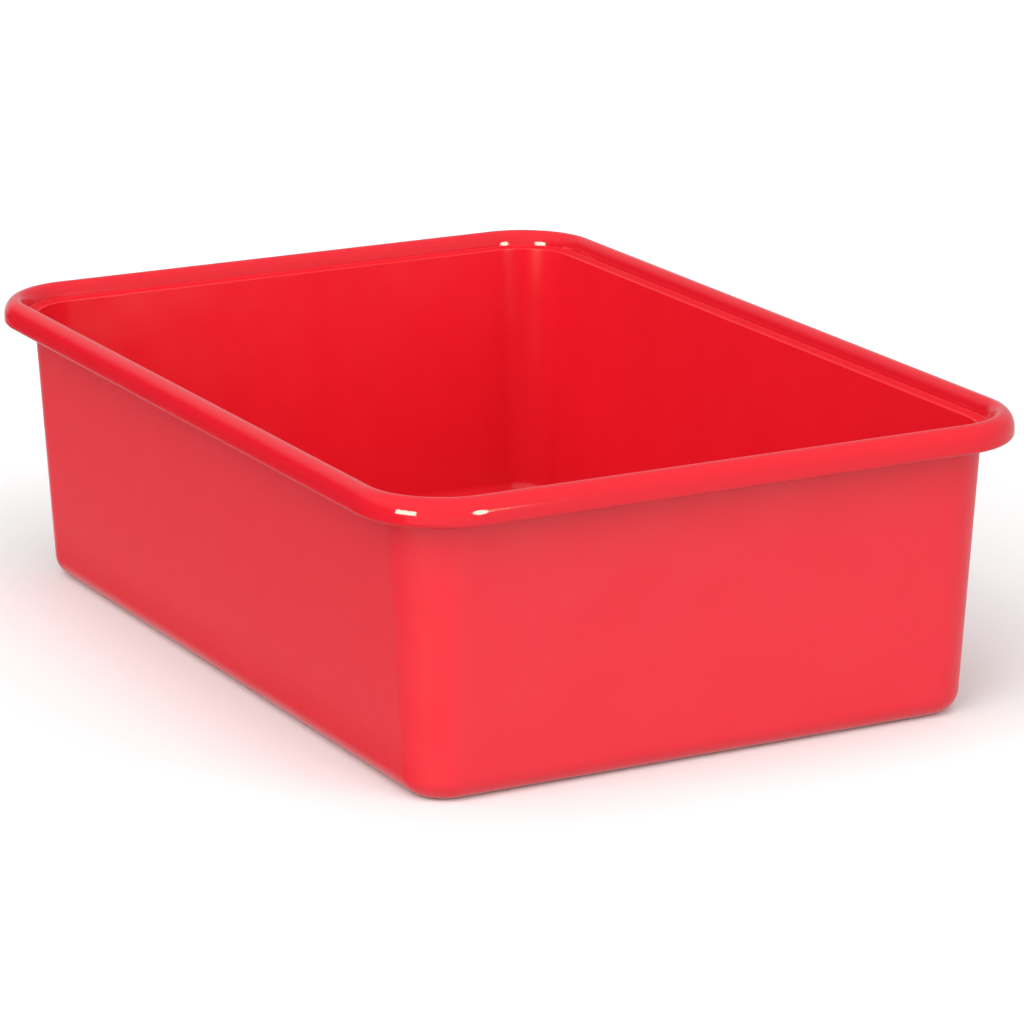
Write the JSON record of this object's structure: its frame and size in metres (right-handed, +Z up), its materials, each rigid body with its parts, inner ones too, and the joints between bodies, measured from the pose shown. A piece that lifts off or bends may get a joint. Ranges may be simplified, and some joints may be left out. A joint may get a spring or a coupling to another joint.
{
  "type": "storage bin",
  "caption": "Open-topped rectangular storage bin with rounded corners, drafted walls, a stepped rim and a rolled-over lip for lifting.",
  "frame": {"origin": "centre of the bin's footprint, on the plane it stands on", "axes": "+Z up out of the open mouth, +Y along the long side, +X along the short side"},
  "size_m": [0.2922, 0.4128, 0.127],
  "materials": {
    "bin_plastic": "glossy, opaque red moulding with a faint orange peel"
  },
  "bodies": {
    "root": {"bin": "bin_plastic"}
  },
  "joints": []
}
